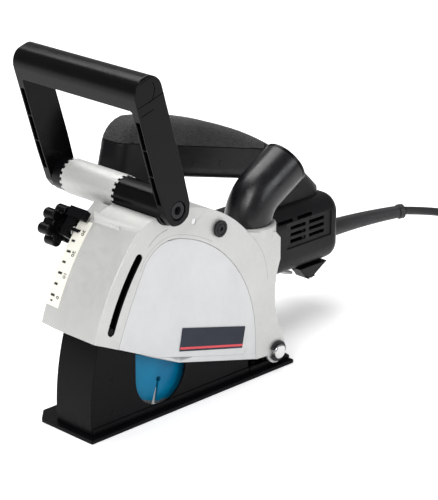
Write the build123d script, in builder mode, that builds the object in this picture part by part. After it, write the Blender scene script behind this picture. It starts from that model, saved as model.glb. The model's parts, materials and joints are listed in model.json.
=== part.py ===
from build123d import *
import os
from math import sin, cos, radians, sqrt, pi, tan

# Wall chaser, millimetres.
# +X points to the rear (cord end), -Y is the flat cover side, +Y the motor side, +Z up.
# Z = 0 is the underside of the sole, X = 0 is the plunge pivot, Y = 0 is the mid-plane of the blades.

os.makedirs("parts", exist_ok=True)

# ---------------------------------------------------------------- driving dimensions
PIVOT_Z = 17.5                # height of the plunge pivot above the sole
PIN_R = 6.5                   # pivot pin
RUN_GAP = 0.05                # radial running clearance
FREE_GAP = 0.4                # clearance between parts that must not touch

BLADE_R = 75.0
BLADE_T = 2.4
ARM_R = 134.0                 # pivot to spindle
ARM_DEG = 27.2                # spindle angle above the forward direction at rest
SPACER_HALF = 12.1            # half the distance between the blades' inner faces

SOLE_T = 3.5
SOLE_NEAR_Y = -28.0            # near edge of the sole
SOLE_FRONT, SOLE_REAR = -220.0, 20.0
SOLE_FLANGE_Y = 47.0          # far edge of the sole's side flange

GUARD_HALF = 21.5
GUARD_WALL = 2.0
GUARD_R = 215.0
GUARD_TOP_DEG = 22.5
WINDOW_X, WINDOW_Z, WINDOW_R = -136.0, 37.0, 28.5

SLOT_R = 208.5                # radius of the cover's arc slot about the pivot
SLOT_HALF = 3.8
PIN_DEG = 20.8                # guide pin angle
PLUNGE_DEG = 17.5
GUIDE_R = 3.5

COVER_NEAR = -26.0
COVER_FAR = 26.0
COVER_WALL = 2.5
COVER_R = 224.0
COVER_IN_R = 217.5
EAR_R = 11.5

NOZZLE_R = 21.0
NOZZLE_WALL = 2.5
NOZZLE_RUN = 35.7             # straight end of the dust outlet

MOTOR_Y = 70.0
MOTOR_HALF_Y = 32.0
MOTOR_HALF_Z = 32.5
MOTOR_FRONT, MOTOR_REAR = -62.0, 155.0
MOTOR_WALL = 3.0

BAIL_X, BAIL_Z = -130.0, 182.5
BAIL_TILT = 16.5              # forward lean of the front grip
BAIL_REACH = 124.0            # axis to top of the grip bar
BAR_T = 25.0                  # thickness of the grip bar
BAIL_NEAR, BAIL_FAR = -37.5, 111.0
BAIL_ARM_T = 8.0
BAIL_ARM_W = 30.0
TUBE_R = 15.5
TUBE_NEAR, TUBE_FAR = 28.0, 88.0
COLLAR_R = 14.5

HANDLE_HALF = 17.0
LEG_HALF = 22.5               # half width of the front leg, which flares out

SX = -ARM_R * cos(radians(ARM_DEG))            # spindle axis
SZ = PIVOT_Z + ARM_R * sin(radians(ARM_DEG))


# ---------------------------------------------------------------- helpers
def at_y(y):
    """Side-view plane at this Y: sketch x is X, sketch y is Z, extruding goes towards -Y."""
    return Plane.XZ.offset(-y)


def at_x(x):
    """Cross-section plane at this X: sketch x is Y, sketch y is Z, extruding goes towards +X."""
    return Plane.YZ.offset(x)


def polar(r, deg):
    """Side-view point at radius r from the pivot, deg above the forward direction."""
    return (-r * cos(radians(deg)), PIVOT_Z + r * sin(radians(deg)))


def radial_plane(deg):
    """Plane through the pivot axis: sketch x is Y, sketch y is the distance from the pivot."""
    return Plane(origin=(0, 0, PIVOT_Z), x_dir=(0, 1, 0), z_dir=(sin(radians(deg)), 0, cos(radians(deg))))


def save(builder, name):
    """Label the piece and write its STEP file."""
    builder.part.label = name
    export_step(builder.part, f"parts/{name}.step")


def disc(x, z, r, y0, y1):
    """Solid cylinder along Y, centred on (x, z), from y0 to y1."""
    with BuildPart() as d:
        with BuildSketch(at_y(y1)):
            with Locations((x, z)):
                Circle(r)
        extrude(amount=y1 - y0)
    return d.part


def ring(x, z, r, r_in, y0, y1):
    """Tube along Y with outer radius r and inner radius r_in."""
    with BuildPart() as d:
        with BuildSketch(at_y(y1)):
            with Locations((x, z)):
                Circle(r)
                Circle(r_in, mode=Mode.SUBTRACT)
        extrude(amount=y1 - y0)
    return d.part


def x_ring(y, z, r, r_in, x0, x1):
    """Tube along X."""
    with BuildPart() as d:
        with BuildSketch(at_x(x0)):
            with Locations((y, z)):
                Circle(r)
                Circle(r_in, mode=Mode.SUBTRACT)
        extrude(amount=x1 - x0)
    return d.part


def x_disc(y, z, r, x0, x1):
    """Solid cylinder along X."""
    with BuildPart() as d:
        with BuildSketch(at_x(x0)):
            with Locations((y, z)):
                Circle(r)
        extrude(amount=x1 - x0)
    return d.part


PIVOT_AXIS = Axis((0, 0, PIVOT_Z), (0, 1, 0))


# ---------------------------------------------------------------- base
def make_sole():
    with BuildPart() as sole:
        with BuildSketch():
            with BuildLine():
                Polyline((SOLE_FRONT, SOLE_NEAR_Y), (SOLE_REAR, SOLE_NEAR_Y), (SOLE_REAR, SOLE_FLANGE_Y),
                         (SOLE_FRONT + 12, SOLE_FLANGE_Y), (SOLE_FRONT, SOLE_FLANGE_Y - 12), close=True)
            make_face()
        extrude(amount=SOLE_T)
        with BuildSketch():                                   # blade opening
            with Locations((-132.5, 0)):
                Rectangle(155, 2 * (GUARD_HALF - GUARD_WALL))
        extrude(amount=SOLE_T, mode=Mode.SUBTRACT)
    save(sole, "sole_plate")


def make_guard():
    inner = GUARD_HALF - GUARD_WALL
    with BuildPart() as guard:
        front_z = SOLE_T
        front_x = -sqrt(GUARD_R ** 2 - (PIVOT_Z - front_z) ** 2)
        top = polar(GUARD_R, GUARD_TOP_DEG)
        with BuildSketch(at_y(GUARD_HALF)):
            with BuildLine():
                ThreePointArc((front_x, front_z), polar(GUARD_R, 8), top)
                Polyline(top, (-165, 92), (-95, 62), (-31, 32), (-31, front_z), (front_x, front_z))
            make_face()
        extrude(amount=2 * GUARD_HALF)
        with BuildSketch(at_y(inner)):                        # hollow, open above, below and behind
            with BuildLine():
                in_r = GUARD_R - 2.5
                in_x = -sqrt(in_r ** 2 - PIVOT_Z ** 2)
                ThreePointArc((in_x, 0), polar(in_r, 8), polar(in_r, 25))
                Polyline(polar(in_r, 25), (-165, 130), (0, 130), (0, 0), (in_x, 0))
            make_face()
        extrude(amount=2 * inner, mode=Mode.SUBTRACT)
        with BuildSketch(at_y(1 - inner)):                    # U window in the near wall, open at the top
            with Locations((WINDOW_X, WINDOW_Z)):
                Circle(WINDOW_R)
            Polygon((WINDOW_X - WINDOW_R, WINDOW_Z), (WINDOW_X + WINDOW_R, WINDOW_Z),
                    (WINDOW_X + WINDOW_R + 14, 75), (WINDOW_X - WINDOW_R, 130), align=None)
        extrude(amount=GUARD_WALL + 2, mode=Mode.SUBTRACT)
        with BuildSketch(at_y(GUARD_HALF + 1)):               # the far wall is open between its ends
            Polygon((-166, 10), (-74, 10), (-74, 130), (-166, 130), align=None)
        extrude(amount=GUARD_WALL + 2, mode=Mode.SUBTRACT)
        for y0, y1 in ((GUARD_HALF, GUARD_HALF + 1.2), (-GUARD_HALF - 1.2, -GUARD_HALF)):
            with BuildSketch(at_y(y1)):                       # foot rail along each wall
                Polygon((front_x + 1, SOLE_T), (front_x + 1, SOLE_T + 6), (-31, SOLE_T + 6), (-31, SOLE_T),
                        align=None)
            extrude(amount=y1 - y0)
        add(disc(*polar(SLOT_R, PIN_DEG), GUIDE_R, -GUARD_HALF - 1, -inner + 1), mode=Mode.SUBTRACT)
    save(guard, "blade_guard")


def make_guide_pin():
    x, z = polar(SLOT_R, PIN_DEG)
    with BuildPart() as pin:
        add(disc(x, z, GUIDE_R, COVER_NEAR + 0.3, -GUARD_HALF + GUARD_WALL))
        chamfer(pin.edges().group_by(Axis.Y)[0], length=0.8)
    save(pin, "guide_pin")


def make_pivot_bracket():
    half = 20.5
    with BuildPart() as bracket:
        with BuildSketch(at_y(22.8)):                         # foot
            Polygon((-30, SOLE_T), (-30, 9), (16, 9), (SOLE_REAR, 6), (SOLE_REAR, SOLE_T), align=None)
        extrude(amount=45.6)
        with BuildSketch(at_y(half)):                         # two eyes
            with Locations((0, PIVOT_Z)):
                Circle(10.5)
            Polygon((-12, 8), (-10.2, 20), (10.2, 20), (14, 8), align=None)
        extrude(amount=2 * half)
        with BuildSketch(at_y(11)):                           # gap for the return spring
            Polygon((-13, 8), (-13, 30), (15, 30), (15, 8), align=None)
        extrude(amount=22, mode=Mode.SUBTRACT)
        add(disc(0, PIVOT_Z, PIN_R, -30, 30), mode=Mode.SUBTRACT)
    save(bracket, "pivot_bracket")
    with BuildPart() as screws:
        for y in (-16, -6, 6, 16):
            with Locations((-22, y, 9)):
                Cylinder(3.2, 2.2, align=(Align.CENTER, Align.CENTER, Align.MIN))
    save(screws, "bracket_screws")


def make_pivot_pin():
    with BuildPart() as pin:
        add(disc(0, PIVOT_Z, PIN_R, -31.5, 31.5))
        for y in (-28.4, 27.2):                               # grooves for the clips
            add(ring(0, PIVOT_Z, PIN_R, PIN_R - 1, y, y + 1.2), mode=Mode.SUBTRACT)
        chamfer(pin.edges().group_by(Axis.Y)[0], length=1)
        chamfer(pin.edges().group_by(Axis.Y)[-1], length=1)
    save(pin, "pivot_pin")
    with BuildPart() as clips:
        for y in (-28.4, 27.2):
            add(ring(0, PIVOT_Z, PIN_R + 3, PIN_R - 1, y, y + 1.2))
        with BuildSketch(at_y(40)):                           # mouth of each clip
            Polygon((0, PIVOT_Z), (-12, PIVOT_Z - 5), (-12, PIVOT_Z + 5), align=None)
        extrude(amount=80, mode=Mode.SUBTRACT)
    save(clips, "pivot_clips")


def make_return_spring():
    wire, coil_r, turns, pitch = 1.8, 7.75, 7, 2.7
    with BuildPart() as spring:
        with BuildLine():
            path = Helix(pitch=pitch, height=turns * pitch, radius=coil_r,
                         center=(0, -turns * pitch / 2, PIVOT_Z), direction=(0, 1, 0))
        with BuildSketch(Plane(origin=path @ 0, z_dir=path % 0)):
            Circle(wire / 2)
        sweep(path=path, is_frenet=True)
    save(spring, "return_spring")


# ---------------------------------------------------------------- cover
NEAR_LINE = [(-26, 16.5), (-119, 41.5)]                       # bottom edge of the near wall
FRONT_LOW_DEG, FRONT_TOP_DEG = 17.7, 42.4


def cover_outline(low_points):
    """Side outline of the cover above the given bottom edge, with the pivot ear."""
    with BuildSketch(at_y(0)) as outline:
        with BuildLine():
            low, high = polar(COVER_R, FRONT_LOW_DEG), polar(COVER_R, FRONT_TOP_DEG)
            ThreePointArc(low, polar(COVER_R, 30), high)
            ThreePointArc(high, (-154.5, 174.2), (-143, 177))
            Line((-143, 177), (-112, 178))
            ThreePointArc((-112, 178), (-72, 165), (-36, 137))
            Polyline((-36, 137), (-2, 129), (4, 122.5), (4, 102.5))
            ThreePointArc((4, 102.5), (-2.5, 72), (8, 31))
            Polyline((8, 31), (11, 21), (11, 14), *low_points, low)
        make_face()
        with Locations((0, PIVOT_Z)):
            Circle(EAR_R)
    return outline.sketch


def arch_outline(inset):
    """Outline of the removable side cover, reduced by the inset."""
    with BuildSketch(at_y(0)) as arch:
        with BuildLine():
            ThreePointArc((-187.5, 73.6), (-175, 103), (-156, 140))
            ThreePointArc((-156, 140), (-143, 150.5), (-125, 154))
            ThreePointArc((-125, 154), (-58, 118), (-27, 45))
            Polyline((-27, 45), (-26, 16.5), (-119, 41.5), (-187.5, 73.6))
        make_face()
        if inset:
            offset(amount=-inset)
    return arch.sketch


def slot_profile(r, half, deg0, deg1):
    """Arc slot about the pivot."""
    with BuildSketch(at_y(0)) as slot:
        with BuildLine():
            ThreePointArc(polar(r + half, deg0), polar(r + half, (deg0 + deg1) / 2), polar(r + half, deg1))
            ThreePointArc(polar(r - half, deg0), polar(r - half, (deg0 + deg1) / 2), polar(r - half, deg1))
            Line(polar(r + half, deg0), polar(r - half, deg0))
            Line(polar(r + half, deg1), polar(r - half, deg1))
        make_face()
        with Locations(polar(r, deg0), polar(r, deg1)):
            Circle(half)
    return slot.sketch


def wall(sketch, y0, y1, mode=Mode.ADD):
    """Extrude a side-view sketch drawn at Y = 0 so that it fills y0 to y1."""
    moved = Location((0, y1, 0)) * sketch
    extrude(moved, amount=y1 - y0, dir=(0, -1, 0), mode=mode)


def make_cover():
    near = cover_outline([NEAR_LINE[0], NEAR_LINE[1]])
    far = cover_outline([(-26, 24), (-119, 56)])
    saddle_r = COLLAR_R + FREE_GAP
    with BuildPart() as cover:
        wall(near, COVER_NEAR, COVER_FAR - 0.01)
        with BuildSketch(at_y(COVER_FAR - COVER_WALL)):       # cavity
            with BuildLine():
                a, b = polar(COVER_IN_R, 14), polar(COVER_IN_R, 41)
                ThreePointArc(a, polar(COVER_IN_R, 28), b)
                Line(b, (-150, 168))
                Line((-150, 168), (-112, 173.5))
                ThreePointArc((-112, 173.5), (-72, 160), (-38, 132))
                Polyline((-38, 132), (-4, 125), (-0.5, 119), (-0.5, 102.5))
                ThreePointArc((-0.5, 102.5), (-7, 72), (-2, 36))
                Polyline((-2, 36), (16, 36), (16, 0), (-150, 0), a)
            make_face()
        extrude(amount=COVER_FAR - COVER_NEAR - 2 * COVER_WALL, mode=Mode.SUBTRACT)
        with BuildSketch(at_y(COVER_FAR)):                    # the far wall stops higher than the near wall
            Polygon((20, -5), (20, 3), (-26, 24), (-119, 56), polar(COVER_IN_R - 1, FRONT_LOW_DEG), (-230, 0),
                    align=None)
            with Locations((0, PIVOT_Z)):
                Circle(EAR_R, mode=Mode.SUBTRACT)
        extrude(amount=COVER_WALL, mode=Mode.SUBTRACT)
        with BuildSketch(radial_plane(FRONT_LOW_DEG)):        # front band with the bevelled scale strip
            Polygon((COVER_NEAR, COVER_IN_R), (COVER_NEAR, COVER_R), (21.4, COVER_R), (44, COVER_R - 4),
                    (44, COVER_IN_R), align=None)
        revolve(axis=PIVOT_AXIS, revolution_arc=FRONT_TOP_DEG - FRONT_LOW_DEG)
        with BuildSketch(radial_plane(FRONT_LOW_DEG - 1)):    # bevel on the corner of the far wall
            Polygon((21.4, COVER_R), (21.4, COVER_R + 3), (45, COVER_R + 3), (44, COVER_R - 4), align=None)
        revolve(axis=PIVOT_AXIS, revolution_arc=FRONT_TOP_DEG - FRONT_LOW_DEG + 1, mode=Mode.SUBTRACT)
        with BuildSketch(at_y(44)):                           # rib that closes the strip to the far wall
            Polygon(polar(COVER_IN_R + 0.5, 40.5), polar(COVER_IN_R + 2, 42.4), (-148, 176), (-140, 160),
                    align=None)
        extrude(amount=44 - COVER_FAR + 1)
        # saddle under the near collar, boss tube and its web
        with BuildSketch(at_y(COVER_FAR - 1)):
            with BuildLine():
                Polyline((-158, 169), (-143, 176.9), (-112, 177.9), (-100, 174), (-106, 158), (-150, 158),
                         (-158, 169))
            make_face()
        extrude(amount=COVER_FAR - COVER_NEAR - 2)
        add(disc(BAIL_X, BAIL_Z, TUBE_R, TUBE_NEAR, TUBE_FAR))
        with BuildSketch(Plane.XY.offset(163)):               # gusset from the cover's front corner to the tube
            Polygon((-167, -7), (-130, 29), (-130, 43), (-150, 43), (-167, 24), align=None)
        extrude(amount=7)
        add(disc(BAIL_X, BAIL_Z, saddle_r, COVER_NEAR - 1, TUBE_NEAR - 0.01), mode=Mode.SUBTRACT)
        add(disc(BAIL_X, BAIL_Z, 5.05, COVER_NEAR, TUBE_FAR + 1), mode=Mode.SUBTRACT)
        # openings
        wall(arch_outline(0), COVER_NEAR - 1, COVER_NEAR + COVER_WALL, mode=Mode.SUBTRACT)
        wall(slot_profile(SLOT_R, SLOT_HALF, PIN_DEG, PIN_DEG + PLUNGE_DEG), COVER_NEAR - 1,
             COVER_NEAR + COVER_WALL + 0.5, mode=Mode.SUBTRACT)
        add(disc(0, PIVOT_Z, PIN_R + RUN_GAP, -30, 30), mode=Mode.SUBTRACT)
        add(disc(SX, SZ, 21.2, COVER_FAR - COVER_WALL - 1, COVER_FAR + 1), mode=Mode.SUBTRACT)
        with BuildSketch(Plane.XY.offset(100)):               # dust port under the elbow
            with Locations((-14, -2.5)):
                Circle(15)
        extrude(amount=45, mode=Mode.SUBTRACT)
        for x, z, r in ((-72, 150, 5.0), (-101, 163, 2.5)):
            add(disc(x, z, r, COVER_NEAR - 1, COVER_NEAR + COVER_WALL + 1), mode=Mode.SUBTRACT)
    save(cover, "cover_casting")


def make_side_cover():
    with BuildPart() as side:
        wall(arch_outline(0.2), COVER_NEAR, COVER_NEAR + COVER_WALL)
    save(side, "side_cover")
    with BuildPart() as plate:
        with BuildSketch(at_y(COVER_NEAR)):
            Polygon((-115, 72), (-40, 52), (-44, 33), (-119, 52), align=None)
        extrude(amount=0.8)
    save(plate, "nameplate")
    with BuildPart() as label:
        y0, y1, thick = 25, 43, 0.4
        r0, r1 = (COVER_R - 4 * (y - 21.4) / (44 - 21.4) for y in (y0, y1))
        with BuildSketch(radial_plane(22)):
            Polygon((y0, r0), (y0, r0 + thick), (y1, r1 + thick), (y1, r1), align=None)
        revolve(axis=PIVOT_AXIS, revolution_arc=19.5)
    save(label, "depth_scale")


def make_cover_fasteners():
    with BuildPart() as bolt:
        add(disc(-72, 150, 8.7, COVER_NEAR - 1.6, COVER_NEAR))
        add(disc(-72, 150, 7.4, COVER_NEAR - 3.2, COVER_NEAR - 1.6))
        add(disc(-72, 150, 5.0, COVER_NEAR, COVER_NEAR + 12))
        with BuildSketch(at_y(COVER_NEAR - 1.8)):
            with Locations((-72, 150)):
                RegularPolygon(4.6, 6)
        extrude(amount=5, mode=Mode.SUBTRACT)
    save(bolt, "cover_bolt")
    with BuildPart() as screw:
        add(disc(-101, 163, 2.5, COVER_NEAR + 0.5, COVER_NEAR + COVER_WALL + 4))
    save(screw, "cover_screw")


# ---------------------------------------------------------------- dust nozzle
def make_nozzle():
    y, bend, foot, knee, turn = -2.5, 32.0, 116.0, 133.49, 60.12
    centre = (19.0, y, knee)                                  # axis of the bend
    lean = radians(turn)
    end = (centre[0] - bend * cos(lean), y, knee + bend * sin(lean))

    with BuildPart() as nozzle:
        with BuildSketch(Plane.XY.offset(foot)):
            with Locations((centre[0] - bend, y)):
                Circle(NOZZLE_R)
                Circle(NOZZLE_R - NOZZLE_WALL, mode=Mode.SUBTRACT)
        extrude(amount=knee - foot)
        with BuildSketch(Plane.XY.offset(knee)):
            with Locations((centre[0] - bend, y)):
                Circle(NOZZLE_R)
                Circle(NOZZLE_R - NOZZLE_WALL, mode=Mode.SUBTRACT)
        revolve(axis=Axis(centre, (0, 1, 0)), revolution_arc=turn)
        with BuildSketch(Plane(origin=end, x_dir=(0, 1, 0), z_dir=(sin(lean), 0, cos(lean)))):
            Circle(NOZZLE_R)
            Circle(NOZZLE_R - NOZZLE_WALL, mode=Mode.SUBTRACT)
        extrude(amount=NOZZLE_RUN)
        with BuildSketch(at_y(30)):                           # lower end follows the cover's top
            Polygon((-60, 60), (-60, 142.6), (-36, 137), (-2, 129), (4, 122.5), (30, 122.5), (30, 60), align=None)
        extrude(amount=60, mode=Mode.SUBTRACT)
    save(nozzle, "dust_nozzle")


# ---------------------------------------------------------------- front grip
def bail_plane(y):
    """Plane at this Y whose sketch origin is the grip's axis and whose sketch y runs along its arms."""
    t = radians(BAIL_TILT)
    return Plane(origin=(BAIL_X, y, BAIL_Z), x_dir=(cos(t), 0, sin(t)), z_dir=(0, -1, 0))


def make_bail():
    half = BAIL_ARM_W / 2
    bar_low = BAIL_REACH - BAR_T
    with BuildPart() as bail:
        with BuildSketch(bail_plane(BAIL_FAR)):
            with BuildLine():
                Line((-14, 0), (-half, 30))
                Line((-half, 30), (-half, BAIL_REACH))
                Line((-half, BAIL_REACH), (half, BAIL_REACH))
                Line((half, BAIL_REACH), (half, 30))
                Line((half, 30), (14, 0))
                ThreePointArc((14, 0), (0, -14), (-14, 0))
            make_face()
        extrude(amount=BAIL_FAR - BAIL_NEAR)
        fillet(bail.edges().filter_by(Axis.Y).group_by(Axis.Z)[-1], radius=9)
        fillet(bail.edges().filter_by(Axis.Y).group_by(Axis.Z)[-2], radius=9)
        with BuildSketch(bail_plane(BAIL_FAR - BAIL_ARM_T)):
            Polygon((-40, -40), (40, -40), (40, bar_low), (-40, bar_low), align=None)
        extrude(amount=BAIL_FAR - BAIL_NEAR - 2 * BAIL_ARM_T, mode=Mode.SUBTRACT)
        for y0, y1 in ((BAIL_NEAR, BAIL_NEAR + 6), (BAIL_FAR - 6, BAIL_FAR)):
            add(disc(BAIL_X, BAIL_Z, 8.2, y0, y1), mode=Mode.SUBTRACT)   # counterbores
        add(disc(BAIL_X, BAIL_Z, 5, BAIL_NEAR - 1, BAIL_FAR + 1), mode=Mode.SUBTRACT)
    save(bail, "front_grip")
    with BuildPart() as near:
        add(ring(BAIL_X, BAIL_Z, COLLAR_R, 5, BAIL_NEAR + BAIL_ARM_T, TUBE_NEAR - 0.3))
    save(near, "grip_collar_near")
    with BuildPart() as far:
        add(ring(BAIL_X, BAIL_Z, COLLAR_R, 5, TUBE_FAR + 0.3, BAIL_FAR - BAIL_ARM_T))
    save(far, "grip_collar_far")
    with BuildPart() as rod:
        add(disc(BAIL_X, BAIL_Z, 5, BAIL_NEAR + 6, BAIL_FAR - 6))
    save(rod, "grip_rod")
    with BuildPart() as bolts:
        for y0, y1 in ((BAIL_NEAR + 0.6, BAIL_NEAR + 5), (BAIL_FAR - 5, BAIL_FAR - 0.6)):
            add(ring(BAIL_X, BAIL_Z, 7.2, 3.6, y0, y1))
    save(bolts, "grip_bolts")
    with BuildPart() as washers:
        for y0, y1 in ((BAIL_NEAR + 5, BAIL_NEAR + 6), (BAIL_FAR - 6, BAIL_FAR - 5)):
            add(ring(BAIL_X, BAIL_Z, 8.0, 5.0, y0, y1))
    save(washers, "grip_washers")


# ---------------------------------------------------------------- depth stop
STOP_DEG = 38.8
STOP_R = 219.0


def make_depth_stop():
    kx, kz = polar(STOP_R, STOP_DEG)
    with BuildPart() as slider:
        with BuildSketch(radial_plane(STOP_DEG - 2.0)):       # block just beyond the strip's far edge
            Polygon((44.5, 207), (44.5, 228), (51, 228), (51, 207), align=None)
        revolve(axis=PIVOT_AXIS, revolution_arc=6.4)
        with BuildSketch(radial_plane(STOP_DEG + 2.2)):       # finger that reaches over the strip
            Polygon((30, 225), (30, 231), (51, 231), (51, 225), align=None)
        revolve(axis=PIVOT_AXIS, revolution_arc=2.2)
        with BuildSketch(radial_plane(STOP_DEG - 0.3)):       # pointer
            Polygon((35.5, 222.6), (46, 222.6), (46, 225), (35.5, 224.2), align=None)
        revolve(axis=PIVOT_AXIS, revolution_arc=0.7)
        add(disc(kx, kz, 4 + RUN_GAP, 40, 60), mode=Mode.SUBTRACT)
    save(slider, "depth_stop")
    with BuildPart() as stud:
        add(disc(kx, kz, 4, 44.5, 65.5))
    save(stud, "depth_stud")
    with BuildPart() as knob:
        with BuildSketch(at_y(71.5)):
            with Locations((kx, kz)):
                Circle(12.5)
                with PolarLocations(13, 6):
                    Circle(5)
        extrude(amount=13)
        fillet(knob.edges().group_by(Axis.Y)[0], radius=1.5)
        fillet(knob.edges().group_by(Axis.Y)[-1], radius=1.5)
        add(disc(kx, kz, 8, 55.5, 58.5))
        add(disc(kx, kz, 4.05, 55, 66.5), mode=Mode.SUBTRACT)
    save(knob, "depth_knob")


# ---------------------------------------------------------------- spindle train, along Y
def make_spindle():
    with BuildPart() as spindle:
        add(disc(SX, SZ, 7, -21.0, 19))
        add(disc(SX, SZ, 8, 19, 64.2))
        add(disc(SX, SZ, 5, 64.2, 84))
    save(spindle, "spindle")
    with BuildPart() as flange:
        add(ring(SX, SZ, 18, 7, SPACER_HALF + BLADE_T, 19))
        add(ring(SX, SZ, 10.5, 8, 19, 27))
    save(flange, "inner_flange")
    with BuildPart() as spacer:
        add(ring(SX, SZ, 18, 7, -SPACER_HALF, SPACER_HALF))
        add(ring(SX, SZ, 11.1, 7, -SPACER_HALF - BLADE_T, SPACER_HALF + BLADE_T))
    save(spacer, "blade_spacer")
    with BuildPart() as nut:
        add(ring(SX, SZ, 16, 7, -19, -SPACER_HALF - BLADE_T))
        for k in range(4):
            a = radians(90 * k)
            add(disc(SX + 12 * cos(a), SZ + 12 * sin(a), 1.6, -20, -17), mode=Mode.SUBTRACT)
    save(nut, "lock_nut")


def make_blade(name, y0, turn):
    """Segmented diamond blade: core disc with keyhole slots between the rim segments."""
    slots = 9
    with BuildPart() as blade:
        add(ring(SX, SZ, BLADE_R, 11.1, y0, y0 + BLADE_T))
        with BuildSketch(at_y(y0 + BLADE_T)):
            with Locations((SX, SZ)):
                with PolarLocations(BLADE_R - 11, slots, start_angle=turn):
                    Polygon((-12, -0.8), (12, -2.8), (12, 2.8), (-12, 0.8), align=None)
                with PolarLocations(BLADE_R - 22, slots, start_angle=turn):
                    Circle(2.6)
        extrude(amount=BLADE_T, mode=Mode.SUBTRACT)
    save(blade, name)


def make_bevels():
    with BuildPart() as gear:
        with BuildSketch(Plane(origin=(SX, 0, SZ), x_dir=(1, 0, 0), z_dir=(0, 0, 1))):
            Polygon((8, 50), (17, 50), (22, 57), (22, 61.4), (14.4, 64.1), (8, 64.1), align=None)
        revolve(axis=Axis((SX, 0, SZ), (0, 1, 0)))
        teeth = 33
        with BuildSketch(Plane(origin=(SX, 66, SZ), x_dir=(1, 0, 0), z_dir=(0, -1, 0))):
            with PolarLocations(19, teeth):
                Rectangle(12, 1.7)
        extrude(amount=5.5, mode=Mode.SUBTRACT)
    save(gear, "bevel_gear")
    with BuildPart() as pinion:
        with BuildSketch(Plane(origin=(SX, MOTOR_Y, SZ), x_dir=(1, 0, 0), z_dir=(0, 0, 1))):
            Polygon((14, 3), (14, 4.6), (22, 7.5), (23.5, 7.5), (26, 6.5), (30, 6.5), (30, 3), align=None)
        revolve(axis=Axis((SX, MOTOR_Y, SZ), (1, 0, 0)))
        for k in range(12):
            a = radians(30 * k)
            with Locations((SX + 18, MOTOR_Y + 7.0 * cos(a), SZ + 7.0 * sin(a))):
                Box(14, 1.2, 1.2, rotation=(30 * k, 0, 0), mode=Mode.SUBTRACT)
    save(pinion, "bevel_pinion")


def make_spindle_bearings():
    with BuildPart() as inner:
        add(ring(SX, SZ, 17.5, 8 + RUN_GAP, 28, 39))
    save(inner, "spindle_bearing")
    with BuildPart() as tip:
        add(ring(SX, SZ, 9, 5 + RUN_GAP, 74, 84))
    save(tip, "spindle_tip_bearing")


def make_gear_housing():
    r_out, r_in = 31.0, 27.0
    with BuildPart() as case:
        add(disc(SX, SZ, r_out, COVER_FAR, 88))
        fillet(case.edges().group_by(Axis.Y)[-1], radius=5)
        with BuildSketch(at_x(SX)):                           # barrel towards the motor
            with Locations((MOTOR_Y, SZ)):
                Circle(22)
        with BuildSketch(at_x(MOTOR_FRONT)):
            with Locations((MOTOR_Y, SZ)):
                RectangleRounded(2 * MOTOR_HALF_Y, 2 * MOTOR_HALF_Z, 18)
        loft()
        with BuildSketch(at_x(MOTOR_FRONT - 6)):              # motor flange
            with Locations((MOTOR_Y, SZ)):
                RectangleRounded(2 * MOTOR_HALF_Y, 2 * MOTOR_HALF_Z, 18)
        extrude(amount=6)
        add(disc(SX, SZ, r_in, 41, 71), mode=Mode.SUBTRACT)   # gear chamber
        add(disc(SX, SZ, 17.5, COVER_FAR - 1, 41), mode=Mode.SUBTRACT)
        add(disc(SX, SZ, 9, 70, 84), mode=Mode.SUBTRACT)
        add(x_disc(MOTOR_Y, SZ, 14, SX + 10, MOTOR_FRONT + 1), mode=Mode.SUBTRACT)
        with BuildSketch(at_x(MOTOR_FRONT - 8)):              # space for the fan
            with Locations((MOTOR_Y, SZ)):
                Circle(27)
        extrude(amount=8, mode=Mode.SUBTRACT)
        with Locations((SX, 45.5, SZ + 20)):
            Cylinder(3.6, 24, mode=Mode.SUBTRACT)             # shaft lock bore
    save(case, "gear_housing")
    with BuildPart() as lock:
        with Locations((SX, 45.5, SZ + 12)):
            Cylinder(3.5, 25, align=(Align.CENTER, Align.CENTER, Align.MIN))
        with Locations((SX, 45.5, SZ + 35)):
            Cylinder(6, 4, align=(Align.CENTER, Align.CENTER, Align.MIN))
    save(lock, "shaft_lock")


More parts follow.
